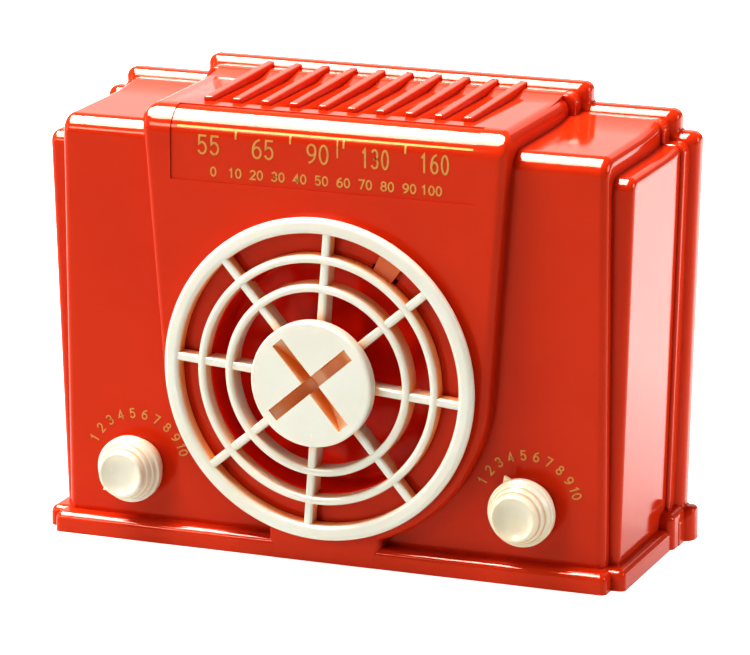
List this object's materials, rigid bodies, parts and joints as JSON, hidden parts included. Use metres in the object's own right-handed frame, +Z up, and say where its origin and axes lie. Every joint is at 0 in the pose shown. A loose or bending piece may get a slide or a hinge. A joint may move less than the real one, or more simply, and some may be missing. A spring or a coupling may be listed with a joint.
{
  "type": "toy radio coin bank",
  "caption": "Toy coin bank shaped as a table radio: stepped plastic cabinet, round twist-off grille with crossed coin slots, turning knobs and a screwed-on back cover with a coin slot.",
  "frame": {"origin": "centre of the bounding box's underside, on the surface that the bank stands on", "axes": "+X to the viewer's right when facing the grille, along the longest side; +Y from the front to the back; +Z up"},
  "size_m": [0.1488, 0.0597, 0.1072],
  "materials": {
    "cabinet_red": "high-gloss moulded polystyrene, bright orange-red",
    "cover_red": "semi-gloss moulded polystyrene, the same red",
    "grille_ivory": "glossy ivory polystyrene, slightly translucent",
    "knob_ivory": "glossy ivory polystyrene, slightly translucent",
    "spring_steel": "oiled spring steel",
    "plated_steel": "dull nickel-plated steel"
  },
  "bodies": {
    "cabinet": {"cabinet_shell": "cabinet_red", "back_cover": "cover_red", "cover_screw_1": "plated_steel", "cover_screw_2": "plated_steel", "cover_screw_3": "plated_steel", "cover_screw_4": "plated_steel"},
    "volume": {"volume_knob": "knob_ivory", "volume_retainer": "spring_steel"},
    "tone": {"tone_knob": "knob_ivory", "tone_retainer": "spring_steel"},
    "grille": {"speaker_grille": "grille_ivory", "plug_cup": "cabinet_red"}
  },
  "joints": [
    {"name": "volume_turn", "type": "hinge", "parent": "cabinet", "child": "volume", "pos_m": [-0.0485, -0.0181, 0.0175], "axis": [0, -1, 0], "continuous": true},
    {"name": "tone_turn", "type": "hinge", "parent": "cabinet", "child": "tone", "pos_m": [0.0485, -0.0181, 0.0175], "axis": [0, -1, 0], "continuous": true},
    {"name": "grille_twist", "type": "hinge", "parent": "cabinet", "child": "grille", "pos_m": [0, -0.0225, 0.0444], "axis": [0, -1, 0], "range_deg": [0, 45]}
  ]
}
